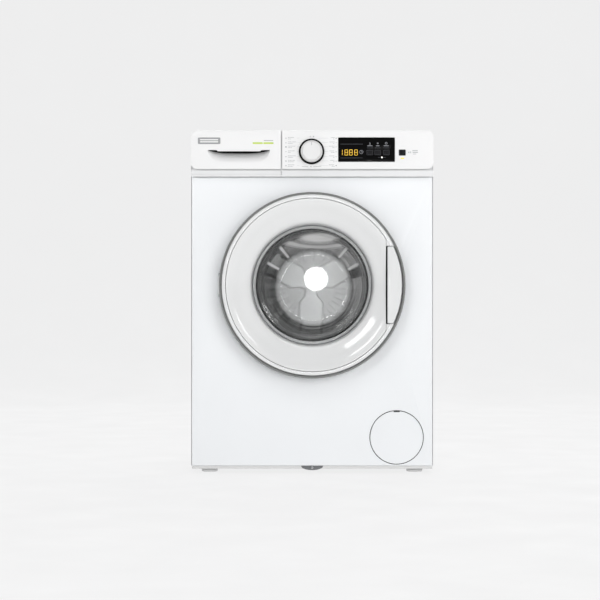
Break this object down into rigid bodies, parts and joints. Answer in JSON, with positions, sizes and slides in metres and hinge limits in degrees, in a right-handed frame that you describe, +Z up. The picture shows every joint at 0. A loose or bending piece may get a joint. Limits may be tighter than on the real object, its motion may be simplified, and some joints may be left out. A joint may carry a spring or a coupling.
{
  "type": "front load washing machine",
  "caption": "White free-standing front load washing machine with a round porthole door, a detergent drawer, a program knob, a display with keys and a sprung drum unit inside.",
  "frame": {"origin": "on the floor, under the middle of the machine's bounding box", "axes": "+Z up, -Y out of the door, +X to the right seen from the front"},
  "size_m": [0.597, 0.527, 0.845],
  "materials": {
    "cabinet_enamel": "smooth white enamel, satin gloss",
    "panel_white": "moulded white plastic, gloss",
    "light_plastic": "moulded light plastic, satin",
    "rim_grey": "dark grey lacquered plastic, satin gloss",
    "gloss_black": "black glossy window",
    "grey_plastic": "moulded grey plastic, matt",
    "zinc_steel": "galvanised sheet and steel",
    "stainless": "stainless steel, brushed",
    "aluminium": "cast aluminium",
    "gasket_rubber": "grey door seal rubber",
    "black_rubber": "black rubber",
    "concrete": "cast concrete",
    "door_glass": "clear pressed glass"
  },
  "bodies": {
    "cabinet": {"left_side_panel": "cabinet_enamel", "right_side_panel": "cabinet_enamel", "front_panel": "cabinet_enamel", "rear_panel": "zinc_steel", "rear_access_cover": "zinc_steel", "worktop": "panel_white", "front_crossbar": "zinc_steel", "base_frame": "grey_plastic", "control_panel": "panel_white", "display_window": "gloss_black", "control_board": "grey_plastic", "drawer_housing": "light_plastic", "inlet_valve": "grey_plastic", "drain_outlet": "grey_plastic", "cable_gland": "black_rubber", "hinge_bracket": "zinc_steel", "door_lock": "grey_plastic", "door_gasket": "gasket_rubber", "drain_pump": "grey_plastic", "damper_cylinder_left": "grey_plastic", "damper_cylinder_right": "grey_plastic"},
    "foot_front_left_body": {"foot_front_left": "light_plastic"},
    "foot_front_right_body": {"foot_front_right": "light_plastic"},
    "foot_rear_left_body": {"foot_rear_left": "light_plastic"},
    "foot_rear_right_body": {"foot_rear_right": "light_plastic"},
    "tub": {"tub_front_half": "light_plastic", "tub_rear_half": "light_plastic", "upper_counterweight": "concrete", "lower_counterweight": "concrete", "heater_element": "stainless", "motor_body": "aluminium", "drive_belt": "black_rubber", "front_bearing": "stainless", "rear_bearing": "stainless", "damper_rod_left": "zinc_steel", "damper_rod_right": "zinc_steel", "suspension_spring_left": "zinc_steel", "suspension_spring_right": "zinc_steel"},
    "motor_shaft": {"motor_rotor": "zinc_steel"},
    "drum": {"drum_shell": "stainless", "lifter_1": "light_plastic", "lifter_2": "light_plastic", "lifter_3": "light_plastic", "drum_spider": "aluminium", "drum_pulley": "aluminium"},
    "door": {"door_rim": "rim_grey", "door_frame": "panel_white", "door_front_ring": "panel_white", "door_glass": "door_glass"},
    "handle": {"door_handle": "panel_white"},
    "latch": {"latch_hook": "zinc_steel"},
    "drawer": {"drawer_front": "panel_white", "drawer_tray": "light_plastic"},
    "knob": {"program_knob": "panel_white"},
    "start_button": {"start_key": "gloss_black"},
    "option_button_1": {"option_key_1": "gloss_black"},
    "option_button_2": {"option_key_2": "gloss_black"},
    "option_button_3": {"option_key_3": "gloss_black"},
    "filter_flap": {"filter_cover": "panel_white"},
    "filter_plug": {"filter_cap": "grey_plastic"}
  },
  "joints": [
    {"name": "door_swing", "type": "hinge", "parent": "cabinet", "child": "door", "pos_m": [-0.228, -0.246, 0.464], "axis": [0, 0, -1], "range_deg": [0, 130]},
    {"name": "handle_pull", "type": "hinge", "parent": "door", "child": "handle", "pos_m": [0.208, -0.254, 0.464], "axis": [0, 0, 1], "range_deg": [0, 15], "stiffness_Nm_per_rad": 0.6, "springref_deg": -14.32},
    {"name": "hook_swing", "type": "hinge", "parent": "door", "child": "latch", "pos_m": [0.199, -0.236, 0.464], "axis": [0, 0, 1], "range_deg": [0, 15]},
    {"name": "drawer_slide", "type": "slide", "parent": "cabinet", "child": "drawer", "axis": [0, -1, 0], "range_m": [0, 0.2]},
    {"name": "tub_bounce", "type": "slide", "parent": "cabinet", "child": "tub", "axis": [0, 0, 1], "range_m": [-0.012, 0.012], "stiffness_N_per_m": 16000, "springref_m": 0.01708, "deforming": ["suspension_spring_left", "suspension_spring_right", "door_gasket"]},
    {"name": "drum_spin", "type": "hinge", "parent": "tub", "child": "drum", "pos_m": [0, 0, 0.464], "axis": [0, 1, 0], "continuous": true},
    {"name": "motor_spin", "type": "hinge", "parent": "tub", "child": "motor_shaft", "pos_m": [0.06, 0.1, 0.128], "axis": [0, 1, 0], "continuous": true},
    {"name": "knob_turn", "type": "hinge", "parent": "cabinet", "child": "knob", "pos_m": [-0.0015, -0.25, 0.7925], "axis": [0, -1, 0], "continuous": true},
    {"name": "start_press", "type": "slide", "parent": "cabinet", "child": "start_button", "axis": [0, 1, 0], "range_m": [0, 0.0012], "stiffness_N_per_m": 300, "springref_m": -0.002},
    {"name": "option_press_1", "type": "slide", "parent": "cabinet", "child": "option_button_1", "axis": [0, 1, 0], "range_m": [0, 0.0012], "stiffness_N_per_m": 300, "springref_m": -0.002},
    {"name": "option_press_2", "type": "slide", "parent": "cabinet", "child": "option_button_2", "axis": [0, 1, 0], "range_m": [0, 0.0012], "stiffness_N_per_m": 300, "springref_m": -0.002},
    {"name": "option_press_3", "type": "slide", "parent": "cabinet", "child": "option_button_3", "axis": [0, 1, 0], "range_m": [0, 0.0012], "stiffness_N_per_m": 300, "springref_m": -0.002},
    {"name": "filter_flap_open", "type": "hinge", "parent": "cabinet", "child": "filter_flap", "pos_m": [0.2086, -0.2275, 0.028], "axis": [1, 0, 0], "range_deg": [0, 90]},
    {"name": "filter_cap_turn", "type": "hinge", "parent": "cabinet", "child": "filter_plug", "pos_m": [0.2086, -0.2, 0.0876], "axis": [0, -1, 0], "range_deg": [0, 90]},
    {"name": "foot_front_left_screw", "type": "slide", "parent": "cabinet", "child": "foot_front_left_body", "axis": [0, 0, -1], "range_m": [0, 0.012]},
    {"name": "foot_front_right_screw", "type": "slide", "parent": "cabinet", "child": "foot_front_right_body", "axis": [0, 0, -1], "range_m": [0, 0.012]},
    {"name": "foot_rear_left_screw", "type": "slide", "parent": "cabinet", "child": "foot_rear_left_body", "axis": [0, 0, -1], "range_m": [0, 0.012]},
    {"name": "foot_rear_right_screw", "type": "slide", "parent": "cabinet", "child": "foot_rear_right_body", "axis": [0, 0, -1], "range_m": [0, 0.012]}
  ],
  "couplings": [
    {"joint": "hook_swing", "follows": "handle_pull", "ratio": 1},
    {"joint": "motor_spin", "follows": "drum_spin", "ratio": 10}
  ]
}
